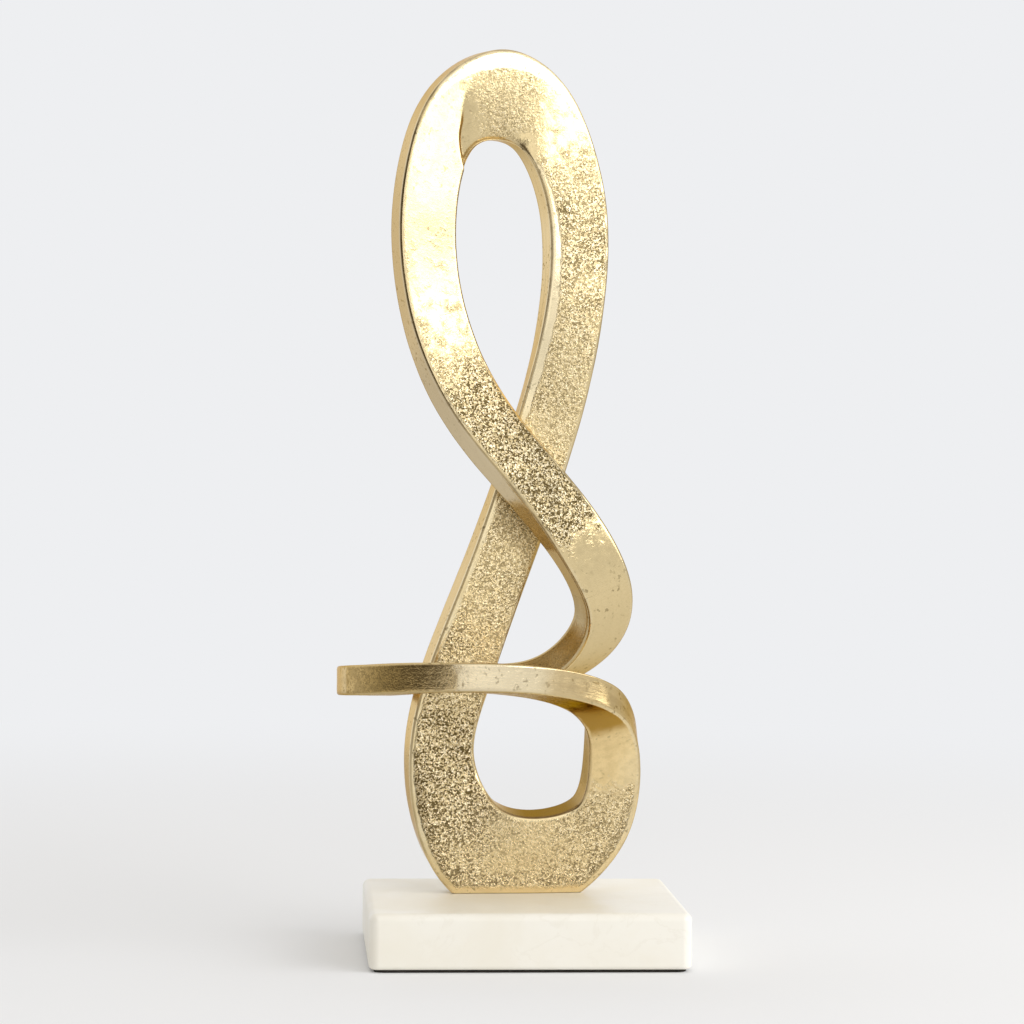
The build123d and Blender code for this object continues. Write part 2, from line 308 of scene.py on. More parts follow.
# name, place, facing, swell past the half width on each side, shape and finish
def makeStations(route, setup):
    at = SimpleNamespace(**route)
    lowSpan = at.crossingHeight - at.ringLevel
    loopSpan = at.loopTop - at.crossingHeight
    lowLevel = at.crossingHeight + 0.21 * loopSpan
    midLevel = at.crossingHeight + 0.46 * loopSpan
    highLevel = at.crossingHeight + 0.73 * loopSpan
    frontBack = at.legBack - setup["bandThickness"] - 0.30 * setup["bandWidth"] - at.strandGap
    ringFront = at.ringMiddle - at.ringReach
    topRight = at.loopRight - at.topRightIn
    topLeft = at.topLeftIn - at.loopLeft
    midLeft = at.midLeftIn - at.loopLeft
    strand = at.strandSwell
    levelFacing = (0, -0.08, -1)

    def loopBack(out):
        return at.loopTurn * (out + at.crownOut)

    return (
        ("foot", (at.footOut, at.footBack, at.footLevel), (0.07, -1, -0.18), (at.footRim, at.footSwell),
         {"dome": 0.2, "grain": 0.1, "lip": 1.4, "sheen": 0.7, "rim": -1.5, "pale": 1}),
        ("low left", (-at.lowLeftOut, at.footBack + at.lowLeftBack, at.footLevel + at.lowLeftRise), (0.12, -1, -0.05),
         (at.lowLeftRim, 0.575 * at.footSwell), {"dome": 0.3, "grain": 1.7, "lip": -0.3, "rim": -2, "pale": 1}),
        ("left", (-at.leftOut, at.footBack + at.leftBack, 0.65 * at.ringLevel), (0.17, -1, 0),
         (0.44 * at.leftSwell, at.leftSwell), {"dome": 0.4, "tilt": 1, "grain": 1.5, "pale": 1}),
        ("low leg", (-at.lowLegOut, at.legBack - at.lowLegStep, at.ringLevel), (0.24, -1, 0),
         (0.55 * at.legSwell, at.legSwell), {"dome": 0.4, "tilt": 2, "grain": 0.8, "rim": -1, "pale": 1}),
        ("leg", (-at.legOut, at.legBack - at.legStep, at.ringLevel + 0.44 * lowSpan), (0.26, -1, 0),
         (0.19 * at.legSwell, 0.95 * at.legSwell), {"dome": 0.3, "tilt": 2, "grain": 0.6, "rim": -1, "pale": 1}),
        ("under crossing", (-at.underOut, at.legBack, at.crossingHeight - at.underDrop), (0.18, -1, 0),
         (0.58 * strand, 1.45 * strand), {"dome": 0.3, "grain": 0.6, "rim": -1, "pale": 0.8}),
        ("low right", (at.lowRightOut, at.legBack - at.lowRightStep, lowLevel), (0.08, -1, 0),
         (0.78 * strand, 1.1 * strand), {"dome": 0.4, "grain": 0.55, "rim": -2.8, "pale": 0.6, "line": 0.6}),
        ("mid right", (at.loopRight, loopBack(at.loopRight), midLevel), (0.20, -1, 0),
         (0.26 * strand, 1.2 * strand), {"dome": 0.5, "grain": 0.72, "rim": -3.2, "pale": 0.6, "line": 0.7}),
        ("high right", (at.loopRight, loopBack(at.loopRight), highLevel), (0.28, -1, 0),
         (strand, strand), {"dome": 0.6, "grain": 0.95, "rim": -2.8, "pale": 0.5, "line": 0.6}),
        ("top right", (topRight, loopBack(topRight), at.loopTop - at.topRightDrop), (0.26, -1, 0.05),
         (0.38 * at.crownSwell, 1.05 * strand),
         {"dome": 0.6, "grain": 0.3, "ground": 0.85, "lip": -0.2, "spread": 2, "pale": 0.5}),
        ("crown", (-at.crownOut, 0, at.loopTop), (0.25, -1, -0.04), (at.crownSwell, 0),
         {"dome": 0.9, "grain": 0.6, "ground": 0.1, "lip": -0.2, "spread": 3, "rim": 9, "pale": 0.5, "line": 0.1}),
        ("top left", (topLeft, loopBack(topLeft), at.loopTop - at.topLeftDrop), (0.30, -1, 0),
         (0.335 * at.crownSwell, 0.24 * strand),
         {"dome": 0.3, "grain": 0.15, "ground": 1, "lip": -0.2, "spread": 2, "pale": 0.8, "line": 1}),
        ("high left", (-at.loopLeft, loopBack(-at.loopLeft), highLevel), (0.30, -1, 0.05),
         (0.88 * strand, 0.29 * strand),
         {"dome": 0.3, "tilt": 1, "grain": 0.45, "ground": 0.62, "lip": 0.4, "pale": 1, "line": 1}),
        ("mid left", (midLeft, loopBack(midLeft), midLevel), (0.33, -1, 0.05), (1.05 * strand, 0.12 * strand),
         {"dome": 0.4, "tilt": 2, "grain": 0.48, "ground": 0.61, "lip": 0.4, "pale": 1, "line": 1}),
        ("low strand", (-at.lowStrandOut, frontBack - at.lowStrandStep, lowLevel), (0.50, -1, 0.15),
         (1.4 * strand, 0.17 * strand),
         {"dome": 0.4, "tilt": 1, "grain": 0.9, "ground": 0.35, "lip": 0.4, "pale": 1, "line": 1}),
        ("over crossing", (at.overOut, frontBack, at.crossingHeight), (0.47, -1, 0.22), (strand, 0),
         {"dome": 0.5, "tilt": -5, "grain": 2.2, "lip": 0.2, "pale": 1, "line": 1}),
        ("shoulder", (at.turnRight - at.shoulderIn, 0, at.ringLevel + 0.65 * lowSpan), (0.25, -1, 0.05),
         (0.74 * strand, 0),
         {"dome": 0.4, "tilt": -7, "grain": 1.2, "ground": 0.75, "lip": 0.4, "pale": 0.8, "line": 0.5}),
        ("right turn", (at.turnRight, at.turnBack, at.ringLevel + 0.29 * lowSpan), (0.60, -1, -0.20),
         (-0.2 * strand, -0.5 * strand),
         {"dome": 0.2, "tilt": -2, "grain": 0.25, "ground": 1, "lip": 0.45, "pale": 0.3}),
        ("into ring", (at.turnRight - at.entryIn, at.ringReach - at.entryStep, at.ringLevel + at.entryRise),
         (0.67, -0.48, -1), (-1.2 * strand, -0.95 * strand), {"grain": 0.4, "ground": 0.6, "lip": 0.25}),
        ("ring back", (-at.ringBackOut, at.ringReach, at.ringLevel - at.ringBackDrop), levelFacing, (0, 0),
         {"grain": 0.6}),
        ("back left", (at.backLeftIn - at.ringLeft, at.ringReach - at.backLeftStep, at.ringLevel - at.backLeftDrop),
         levelFacing, (0, 0), {"grain": 0.6, "pale": 1.1}),
        ("ring left", (-at.ringLeft, at.ringMiddle, at.ringLevel - at.ringLeftDrop), levelFacing, (0, 0),
         {"grain": 0.6, "pale": 1, "patinaAndShade": -0.2}),
        ("front left", (at.frontLeftIn - at.ringLeft, ringFront + at.frontLeftStep, at.ringLevel + at.frontLeftRise),
         levelFacing, (0, 0), {"grain": 0.6, "lip": -0.4, "patinaAndShade": 1.2}),
        ("ring front", (-at.ringFrontOut, ringFront, at.ringLevel + at.ringFrontRise), (0, -0.10, -1), (0, 0),
         {"grain": 0.6, "lean": 4, "pale": 1.2}),
        ("ring end", (at.dropRight - at.ringEndIn, ringFront + at.ringEndStep, at.ringLevel - at.ringEndDrop),
         (0, -0.46, -1), (-strand, -1.4 * strand),
         {"grain": 0.35, "ground": 0.7, "brownShade": 1.4, "lean": 20, "thin": 2}),
        ("right drop", (at.dropRight, -at.dropFront, 0.68 * at.ringLevel), (0.11, -1, -0.21), (0, 0.3 * strand),
         {"grain": 0.2, "ground": 1, "lip": 0.4, "lean": 6, "sheen": 0.9, "pale": 0.3}),
        ("low drop", (at.dropRight - at.lowDropIn, at.footBack + at.lowDropBack, at.footLevel + at.lowDropRise),
         (0.20, -1, -0.15), (0.4 * at.dropSwell, at.dropSwell),
         {"dome": 0.1, "grain": 1.9, "lip": 0.8, "sheen": 0.2, "rim": -2, "pale": 0.6}),
    )


def splineControls(points):
    controls = [Vector(point) for point in points]
    count = len(controls)
    for sweep in range(40):
        for place in range(count):
            controls[place] = (6 * Vector(points[place]) - controls[place - 1] - controls[(place + 1) % count]) / 4
    return controls


def splineWeights(fraction):
    left = 1 - fraction
    values = (left ** 3 / 6, (3 * fraction ** 3 - 6 * fraction ** 2 + 4) / 6,
              (-3 * fraction ** 3 + 3 * fraction ** 2 + 3 * fraction + 1) / 6, fraction ** 3 / 6)
    slopes = (-left ** 2 / 2, (3 * fraction ** 2 - 4 * fraction) / 2,
              (-3 * fraction ** 2 + 2 * fraction + 1) / 2, fraction ** 2 / 2)
    return values, slopes


stations = makeStations(route, knot)
middleControls = splineControls([place for name, place, *others in stations])
facingControls = splineControls([Vector(facing).normalized() for name, place, facing, *others in stations])
swellControls = splineControls([(*swell, 0.0) for name, place, facing, swell, finish in stations])


def bandAt(turn):
    first = math.floor(turn)
    values, slopes = splineWeights(turn - first)
    picks = [(first + step - 1) % len(stations) for step in range(4)]
    middle = sum((middleControls[p] * w for p, w in zip(picks, values)), Vector())
    along = sum((middleControls[p] * w for p, w in zip(picks, slopes)), Vector()).normalized()
    facing = sum((facingControls[p] * w for p, w in zip(picks, values)), Vector())
    facing = (facing - along * facing.dot(along)).normalized()
    swell = sum((swellControls[p] * w for p, w in zip(picks, values)), Vector())
    finish = {key: scale * sum(stations[p][-1].get(key, 0.0) * w for p, w in zip(picks, values))
              for key, scale in finishScales.items()}
    return middle, along.cross(facing), facing, swell, finish


def makePath(name, ends, setup):
    start, stop = ends
    rings = round((stop - start) * setup["ringsPerStation"])
    lift = Vector((0.0, 0.0, setup["baseTop"]))
    vectors = {key: [] for key in ("across", "facing")}
    numbers = {key: [] for key in ("reachIn", "reachOut", "alongPath", "turn", *finishScales)}
    points = []
    travelled = start * setup["patternStep"] * mm
    for ring in range(rings + 1):
        turn = start + (stop - start) * ring / rings
        middle, across, facing, swell, finish = bandAt(turn)
        point = (middle + lift) * mm
        if points:
            travelled += (point - points[-1]).length
        points.append(point)
        vectors["across"].extend(across)
        vectors["facing"].extend(facing)
        numbers["reachIn"].append((setup["bandWidth"] / 2 + swell.x) * mm)
        numbers["reachOut"].append((setup["bandWidth"] / 2 + swell.y) * mm)
        numbers["alongPath"].append(travelled)
        numbers["turn"].append(turn)
        for key, value in finish.items():
            numbers[key].append(value)
    mesh = bpy.data.meshes.new(name)
    mesh.from_pydata(points, [(ring, ring + 1) for ring in range(rings)], [])
    for key, values in vectors.items():
        mesh.attributes.new(key, "FLOAT_VECTOR", "POINT").data.foreach_set("vector", values)
    for key, values in numbers.items():
        mesh.attributes.new(key, "FLOAT", "POINT").data.foreach_set("value", values)
    path = bpy.data.objects.new(name, mesh)
    scene.collection.objects.link(path)
    return path


def field(tree, name, kind="FLOAT"):
    return addNode(tree, "GeometryNodeInputNamedAttribute", {"Name": name}, data_type=kind).outputs["Attribute"]


def store(tree, geometry, name, value, kind="FLOAT"):
    node = addNode(tree, "GeometryNodeStoreNamedAttribute", {"Geometry": geometry, "Name": name},
                   data_type=kind, domain="POINT")
    plug(tree, node.inputs["Value"], value)
    return node.outputs["Geometry"]


# Inputs of the band's tree and the settings that fill them
bandLengths = {"Band Width": "bandWidth", "Band Thickness": "bandThickness", "Edge Radius": "bandEdge",
               "Facet": "facet", "Dent Depth": "dentDepth", "Dent Size": "dentSize", "Wave Depth": "waveDepth",
               "Wave Size": "waveSize", "Hollow Depth": "hollowDepth", "Hollow Top": "hollowTop",
               "Hollow Reach": "hollowReach"}
bandNumbers = {"Dent Start": "dentStart", "Dent Left": "dentLeft", "Wave Top": "waveTop",
               "Crease Turn": "creaseTurn", "Crease Slant": "creaseSlant", "Crease Width": "creaseWidth",
               "Hollow Curve": "hollowCurve", "Hollow Start": "hollowStart", "Hollow Full": "hollowFull"}


def buildBandTree(setup):
    tree = bpy.data.node_groups.new("castBand", "GeometryNodeTree")
    tree.interface.new_socket("Path", in_out="INPUT", socket_type="NodeSocketGeometry")
    for name in (*bandLengths, *bandNumbers):
        tree.interface.new_socket(name, in_out="INPUT", socket_type="NodeSocketFloat")
    tree.interface.new_socket("Finish", in_out="INPUT", socket_type="NodeSocketMaterial")
    tree.interface.new_socket("Casting", in_out="OUTPUT", socket_type="NodeSocketGeometry")
    given = tree.nodes.new("NodeGroupInput").outputs
    edge = given["Edge Radius"]
    halfThickness = calc(tree, "MULTIPLY", given["Band Thickness"], 0.5)

    # section: a rectangle with rounded corners, cut into short facets
    section = addNode(tree, "GeometryNodeCurvePrimitiveQuadrilateral",
                      {"Width": given["Band Width"], "Height": given["Band Thickness"]}).outputs[0]
    section = addNode(tree, "GeometryNodeFilletCurve",
                      {"Curve": section, "Count": setup["edgeSteps"], "Radius": edge}, mode="POLY").outputs[0]
    section = addNode(tree, "GeometryNodeResampleCurve",
                      {"Curve": section, "Length": given["Facet"]}, mode="LENGTH").outputs[0]
    spot = tree.nodes.new("GeometryNodeInputPosition").outputs[0]
    section = store(tree, section, "sectionPlace", spot, "FLOAT_VECTOR")

    line = addNode(tree, "GeometryNodeMeshToCurve", {"Mesh": given["Path"]}).outputs[0]
    line = store(tree, line, "middle", spot, "FLOAT_VECTOR")
    band = addNode(tree, "GeometryNodeCurveToMesh",
                   {"Curve": line, "Profile Curve": section, "Fill Caps": True}).outputs[0]

    # each point goes to its place on the turned and swelling section
    parts = addNode(tree, "ShaderNodeSeparateXYZ", {"Vector": field(tree, "sectionPlace", "FLOAT_VECTOR")})
    sideways, outward = parts.outputs["X"], parts.outputs["Y"]
    inner = calc(tree, "GREATER_THAN", sideways, 0.0)
    reach = mixNumber(tree, inner, field(tree, "reachOut"), field(tree, "reachIn"))
    core = calc(tree, "SUBTRACT", calc(tree, "MULTIPLY", given["Band Width"], 0.5), edge)
    size = calc(tree, "ABSOLUTE", sideways)
    stretch = calc(tree, "DIVIDE", calc(tree, "SUBTRACT", reach, edge), core)
    flat = product(tree, calc(tree, "MINIMUM", size, core), stretch)
    corner = calc(tree, "MAXIMUM", calc(tree, "SUBTRACT", size, core), 0.0)
    span = calc(tree, "ADD", flat, corner)
    sideways = product(tree, span, calc(tree, "SIGN", sideways))
    crown = rest(tree, calc(tree, "POWER", calc(tree, "DIVIDE", span, reach), 3.0))
    depth = calc(tree, "DIVIDE", outward, halfThickness)
    front = ramp(tree, depth, 0.5, 1.0)
    back = ramp(tree, depth, -0.5, -1.0)
    lean = product(tree, field(tree, "lean"), calc(tree, "LESS_THAN", sideways, 0.0))
    taper = product(tree, calc(tree, "DIVIDE", lean, reach), calc(tree, "ADD", outward, halfThickness))
    sideways = product(tree, sideways, rest(tree, taper))
    shaped = addShare(tree, product(tree, crown, field(tree, "dome")), sideways, field(tree, "tilt"))

    # the crown dips towards the eye of the loop, up to a slanting crease
    turn = field(tree, "turn")
    crease = calc(tree, "SUBTRACT", given["Crease Turn"],
                  product(tree, calc(tree, "DIVIDE", sideways, reach), given["Crease Slant"]))
    dip = calc(tree, "DIVIDE", calc(tree, "SUBTRACT", given["Hollow Top"], sideways), given["Hollow Reach"])
    dip = calc(tree, "POWER", calc(tree, "MAXIMUM", dip, 0.0), given["Hollow Curve"])
    dip = product(tree, dip, given["Hollow Depth"], ramp(tree, turn, given["Hollow Start"], given["Hollow Full"]),
                  ramp(tree, calc(tree, "SUBTRACT", crease, turn), 0.0, given["Crease Width"]))
    shaped = calc(tree, "SUBTRACT", shaped, dip)
    outward = addShare(tree, outward, shaped, front)
    outward = addShare(tree, outward, field(tree, "thin"), back)
    place = vectorCalc(tree, "ADD", field(tree, "middle", "FLOAT_VECTOR"),
                       vectorCalc(tree, "SCALE", field(tree, "across", "FLOAT_VECTOR"), sideways))
    place = vectorCalc(tree, "ADD", place,
                       vectorCalc(tree, "SCALE", field(tree, "facing", "FLOAT_VECTOR"), outward))
    straight = addNode(tree, "ShaderNodeCombineXYZ",
                       {"X": field(tree, "alongPath"), "Y": sideways, "Z": outward}).outputs[0]
    band = store(tree, band, "edgeGap", calc(tree, "SUBTRACT", reach, span))
    band = store(tree, band, "bandPlace", straight, "FLOAT_VECTOR")
    band = store(tree, band, "bandSpot", place, "FLOAT_VECTOR")
    band = addNode(tree, "GeometryNodeSetPosition",
                   {"Geometry": band, "Position": field(tree, "bandSpot", "FLOAT_VECTOR")}).outputs[0]
    band = addNode(tree, "GeometryNodeFlipFaces", {"Mesh": band}).outputs[0]

    # cast dents on the broad faces, slow waves of hand grinding everywhere
    broad = ramp(tree, field(tree, "edgeGap"), edge, product(tree, edge, given["Dent Start"]))
    rough = rest(tree, product(tree, field(tree, "ground"), given["Dent Left"]))
    rough = product(tree, rough, field(tree, "grain"), broad)
    dents = noise(tree, spot, calc(tree, "DIVIDE", 1.0, given["Dent Size"]), 1.5, 0.55)
    dents = product(tree, calc(tree, "SUBTRACT", dents, 0.5), product(tree, given["Dent Depth"], 2.0))
    waves = noise(tree, spot, calc(tree, "DIVIDE", 1.0, given["Wave Size"]), 1.0)
    waves = product(tree, calc(tree, "SUBTRACT", waves, given["Wave Top"]), given["Wave Depth"])
    push = vectorCalc(tree, "SCALE", tree.nodes.new("GeometryNodeInputNormal").outputs[0],
                      addShare(tree, waves, dents, rough))
    band = addNode(tree, "GeometryNodeSetPosition", {"Geometry": band, "Offset": push}).outputs[0]
    band = addNode(tree, "GeometryNodeSetShadeSmooth", {"Geometry": band, "Shade Smooth": True}).outputs[0]
    band = addNode(tree, "GeometryNodeRealizeInstances", {"Geometry": band}).outputs[0]
    band = addNode(tree, "GeometryNodeSetMaterial", {"Geometry": band, "Material": given["Finish"]}).outputs[0]
    result = tree.nodes.new("NodeGroupOutput")
    tree.links.new(band, result.inputs["Casting"])
    return tree


def finishNodes(piece, tree, values):
    modifier = piece.modifiers.new(tree.name, "NODES")
    modifier.node_group = tree
    for item in tree.interface.items_tree:
        if item.item_type == "SOCKET" and item.in_out == "INPUT" and item.name in values:
            modifier[item.identifier] = values[item.name]
    bpy.context.view_layer.update()
    solid = bpy.data.meshes.new_from_object(piece.evaluated_get(bpy.context.evaluated_depsgraph_get()))
    piece.modifiers.remove(modifier)
    old = piece.data
    name = old.name
    piece.data = solid
    bpy.data.meshes.remove(old)
    solid.name = name


# Shared effects
def newGroup(name, inputs, outputs):
    tree = bpy.data.node_groups.new(name, "ShaderNodeTree")
    for label, kind in inputs:
        tree.interface.new_socket(label, in_out="INPUT", socket_type=kind)
    for label, kind in outputs:
        tree.interface.new_socket(label, in_out="OUTPUT", socket_type=kind)
    return tree, tree.nodes.new("NodeGroupInput").outputs, tree.nodes.new("NodeGroupOutput")


# Flakes and fine noise of a sand casting, in parts of the grain's size
grainShape = {
    "stirScale": 1.3,
    "stirReach": 0.7,
    "flakeScale": 1.7,
    "flakeSoftness": 0.45,
    "flakeShare": 0.55,
    "fineScale": 2.6,
    "fineShare": 0.45,
    "pits": (0.47, 0.35),
}


def buildCastGrain(setup):
    tree, given, result = newGroup("castGrain", (("Place", "NodeSocketVector"), ("Size", "NodeSocketFloat")),
                                   (("Height", "NodeSocketFloat"), ("Pits", "NodeSocketFloat")))
    spot = vectorCalc(tree, "SCALE", given["Place"], calc(tree, "DIVIDE", 1.0, given["Size"]))
    stir = addNode(tree, "ShaderNodeTexNoise",
                   {"Vector": spot, "Scale": setup["stirScale"], "Detail": 1.0}).outputs["Color"]
    spot = vectorCalc(tree, "ADD", spot, vectorCalc(tree, "SCALE", stir, setup["stirReach"]))
    flakes = addNode(tree, "ShaderNodeTexVoronoi", {"Vector": spot, "Scale": setup["flakeScale"],
                                                    "Smoothness": setup["flakeSoftness"]},
                     feature="SMOOTH_F1").outputs["Color"]
    flakes = addNode(tree, "ShaderNodeSeparateXYZ", {"Vector": flakes}).outputs["X"]
    fine = noise(tree, spot, setup["fineScale"], 2.0, 0.55)
    height = addShare(tree, product(tree, flakes, setup["flakeShare"]), fine, setup["fineShare"])
    tree.links.new(height, result.inputs["Height"])
    tree.links.new(ramp(tree, height, *setup["pits"]), result.inputs["Pits"])
    return tree


brushShape = {"smearScale": 0.22}


def buildBrushLines(setup):
    tree, given, result = newGroup("brushLines", (("Place", "NodeSocketVector"), ("Length", "NodeSocketFloat"),
                                                  ("Spacing", "NodeSocketFloat")),
                                   (("Lines", "NodeSocketFloat"), ("Smears", "NodeSocketFloat")))
    long = calc(tree, "DIVIDE", 1.0, given["Length"])
    tight = calc(tree, "DIVIDE", 1.0, given["Spacing"])
    pull = addNode(tree, "ShaderNodeCombineXYZ", {"X": long, "Y": tight, "Z": tight}).outputs[0]
    slowPull = vectorCalc(tree, "SCALE", pull, setup["smearScale"])
    lines = noise(tree, vectorCalc(tree, "MULTIPLY", given["Place"], pull), 1.0, 3.0, 0.6, 0.6)
    smears = noise(tree, vectorCalc(tree, "MULTIPLY", given["Place"], slowPull), 1.0, 2.0)
    tree.links.new(lines, result.inputs["Lines"])
    tree.links.new(smears, result.inputs["Smears"])
    return tree


castGrain = buildCastGrain(grainShape)
brushLines = buildBrushLines(brushShape)


def useGroup(tree, group, values):
    node = tree.nodes.new("ShaderNodeGroup")
    node.node_tree = group
    for name, value in values.items():
        plug(tree, node.inputs[name], value)
    return node.outputs


def newMaterial(name):
    material = bpy.data.materials.new(name)
    material.use_nodes = True
    tree = material.node_tree
    return material, tree, tree.nodes["Principled BSDF"]


# Gold casting. A pair is where an effect starts and where it is full, and a share is how strong it gets.
goldFinish = {
    "gold": (0.72, 0.575, 0.315, 1.0),
    "deep": (0.16, 0.115, 0.045, 1.0),
    "bright": (0.93, 0.81, 0.56, 1.0),
    # colour of the painted brown shade under the ring's end
    "brown": (0.40, 0.235, 0.035, 1.0),
    # colour of the painted shade on the lips
    "lipBrown": (0.30, 0.205, 0.095, 1.0),
    "grazing": (0.66, 0.50, 0.29, 1.0),
    "rim": (0.15, 0.10, 0.04, 1.0),
    # colour of the painted sheen and of the painted highlight on the sole
    "sheenGold": (0.97, 0.785, 0.46, 1.0),
    # colour of the painted reflection on the narrow sides
    "flank": (0.90, 0.79, 0.57, 1.0),
    # patina colour, also used for a painted dark reflection
    "patinaAndShade": (0.50, 0.30, 0.035, 1.0),
    # patterns
    "footLevel": knot["baseTop"] * mm,
    "grainSize": 1.0 * mm,
    "grainHeight": 0.50 * mm,
    "lineLength": 16.0 * mm,
    "lineSpacing": 0.6 * mm,
    "raggedScale": 220.0,
    "blotchScale": 75.0,
    "mottleScale": 330.0,
    "cloudScale": 130.0,
    "speckScale": 620.0,
    # cast skin
    "groundBorder": (0.9 * mm, 2.0 * mm),
    "soleSlope": 0.6,
    "raggedBorder": 1.8 * mm,
    "patch": (0.42, 0.62),
    "raggedPatch": 0.5,
    "unevenShare": 1.6,
    "fringeGap": (7.0 * mm, 2.5 * mm),
    "fringeRise": (60.0 * mm, 40.0 * mm),
    "fringeShare": 1.1,
    "narrowGap": (0.3 * mm, 0.02 * mm),
    "patinaAndShadeGrain": 0.22,
    "leastGrain": 0.04,
    # colour
    "pitShare": 0.90,
    "shine": (0.54, 0.68),
    "shineShare": 0.8,
    "polishGap": (0.2 * mm, 1.0 * mm),
    "polish": (-0.15, 0.15, 0.05, 0.45),
    "wideBand": (2.0 * mm, 2.7 * mm),
    "wideShare": 0.6,
    "sheen": (-0.12, 0.12, 0.45, 1.0),
    "soleRise": (4.2 * mm, 2.6 * mm),
    "raggedSole": 2.0 * mm,
    "soleShare": 0.8,
    "smearGap": (1.4 * mm, 0.8 * mm, 0.03, 0.25),
    "smear": (0.52, 0.36),
    "flankShare": 0.85,
    "darkPatch": (0.37, 0.43),
    "raggedStain": 0.12,
    "patinaAndShadeCover": (0.4, 1.0, 0.40, 0.88),
    "cloud": (0.42, 0.56),
    "cloudShare": 0.40,
    "spotShare": 0.55,
    "speck": (0.60, 0.70),
    "speckBlotch": (-0.05, 0.12),
    "speckShare": 0.6,
    "edgeStart": (0.02 * mm, 0.25 * mm),
    "lineEnd": (0.9 * mm, 0.45 * mm),
    "linePatches": (-0.25, 0.15, 0.15, 0.65),
    "lineShare": 0.9,
    "leastLine": 0.10,
    "lipOuter": 0.9 * mm,
    "lipInner": 0.2 * mm,
    "lipSpread": 0.35,
    # painted brown shade under the ring's end
    "brownShade": (0.55, 0.75),
    "raggedBrownShade": 0.1,
    "brownShadeShare": 0.9,
    "narrowBrownShade": 0.45,
    "contactRise": (0.40 * mm, 0.15 * mm),
    "contactShare": 0.8,
    # roughness and relief
    "groundRoughness": (-0.2, 0.2, 0.13, 0.23),
    "castRoughness": (0.38, 0.60, 0.48, 0.16),
    "filedEnd": (1.3 * mm, 0.8 * mm),
    "filedBand": 1.0 * mm,
    "filedShare": 0.9,
    "filedRoughness": 0.6,
    "brushGap": (3.0 * mm, 1.0 * mm),
    "brushHeight": 0.07,
}


